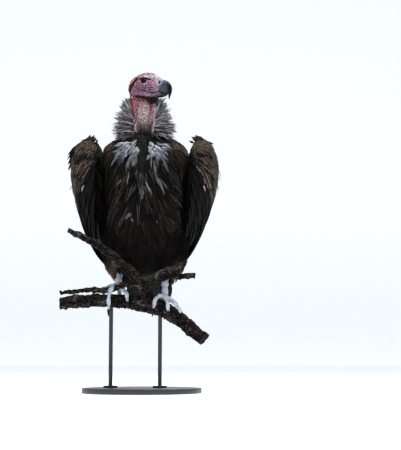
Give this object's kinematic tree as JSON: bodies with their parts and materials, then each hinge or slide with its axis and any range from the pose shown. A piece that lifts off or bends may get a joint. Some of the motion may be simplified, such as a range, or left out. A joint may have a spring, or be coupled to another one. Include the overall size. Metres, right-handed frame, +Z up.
{
  "type": "perched lappet-faced vulture model",
  "caption": "Life-size still model of a lappet-faced vulture gripping a cut branch, head turned aside and wings held a little open, on a plain round stand with short rods",
  "frame": {"origin": "middle of the underside of the stand's round base", "axes": "+Z up; the bird's breast faces -Y and its tail points to +Y; +X is the bird's own left, the side its bill points to"},
  "size_m": [0.6304, 0.677, 1.265],
  "materials": {
    "feather_dark": "blackish-brown contour and flight feathers, matt",
    "feather_brown": "brown wing coverts with paler edges",
    "ruff_grey": "grey lanceolate feathers with dark tips",
    "trouser": "soft dark brown thigh feathers with rusty edges",
    "skin_pink": "bare wrinkled skin, pink with purple and grey",
    "leg_grey": "pale blue-grey scaled skin",
    "horn": "slate-grey horn, half gloss",
    "claw": "black horn",
    "eye": "dark brown, wet gloss",
    "bark": "rough weathered bark",
    "stand_paint": "dark grey, satin"
  },
  "bodies": {
    "root": {"trunk": "feather_dark", "tail": "feather_dark", "crop": "feather_dark", "wing_left_quills": "feather_dark", "wing_right_quills": "feather_dark", "wing_left_coverts": "feather_brown", "wing_right_coverts": "feather_brown", "ruff": "ruff_grey", "thigh_left": "trouser", "thigh_right": "trouser", "head": "skin_pink", "neck": "skin_pink", "tarsus_left": "leg_grey", "tarsus_right": "leg_grey", "foot_left": "leg_grey", "foot_right": "leg_grey", "bill_upper": "horn", "bill_lower": "horn", "claw_left_middle": "claw", "claw_left_inner": "claw", "claw_left_outer": "claw", "claw_left_hind": "claw", "claw_right_middle": "claw", "claw_right_inner": "claw", "claw_right_outer": "claw", "claw_right_hind": "claw", "eye_left": "eye", "eye_right": "eye", "perch_limb": "bark", "perch_fork": "bark", "perch_twig": "bark", "perch_knob": "bark", "stand_base": "stand_paint", "stand_rod_left": "stand_paint", "stand_rod_right": "stand_paint"}
  },
  "joints": []
}
